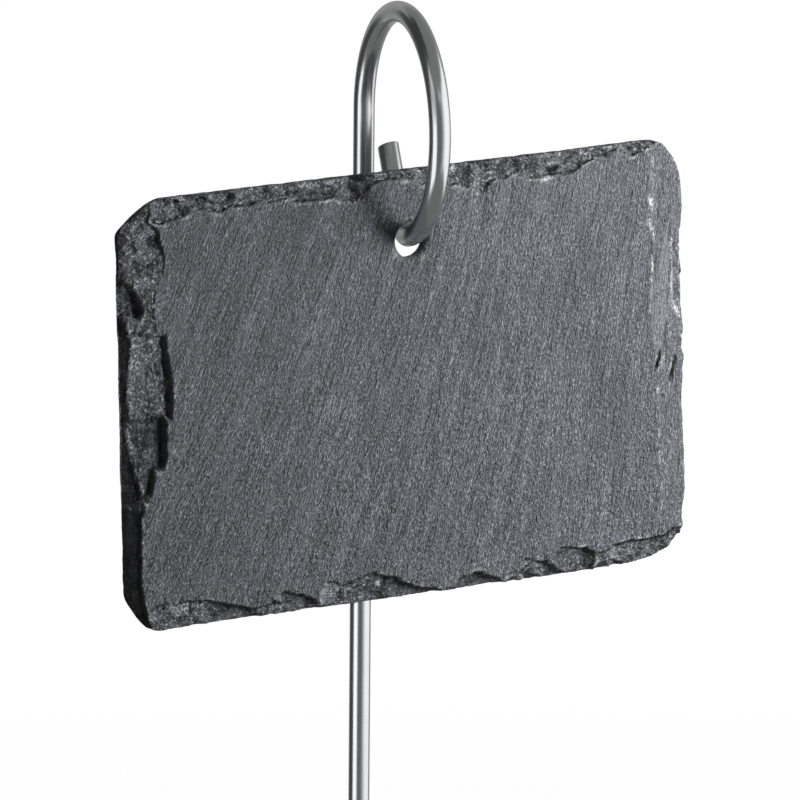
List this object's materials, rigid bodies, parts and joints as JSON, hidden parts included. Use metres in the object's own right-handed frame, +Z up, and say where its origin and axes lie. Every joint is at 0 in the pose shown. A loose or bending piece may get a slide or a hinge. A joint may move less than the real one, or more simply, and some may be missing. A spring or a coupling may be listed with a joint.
{
  "type": "plant label stake",
  "caption": "Slate label plate hung by its drilled hole on the hook of a bent steel wire stake, pushed into soil or a pot to mark a plant.",
  "frame": {"origin": "on the axis of the wire's straight shank at the soil line", "axes": "+Z up along the shank, -Y forward to the loop and the plate's front, +X to the right seen from the front"},
  "size_m": [0.1509, 0.057, 0.42],
  "materials": {
    "drawn_wire": "satin drawn stainless steel",
    "riven_slate": "matt riven slate with chipped edges"
  },
  "bodies": {
    "stake": {"wire_stake": "drawn_wire"},
    "plate": {"slate_plate": "riven_slate"}
  },
  "joints": [
    {"name": "plate_sway", "type": "hinge", "parent": "stake", "child": "plate", "pos_m": [0, -0.03094, 0.23599], "axis": [0.1736, -0.9848, 0], "range_deg": [-70, 65]}
  ]
}
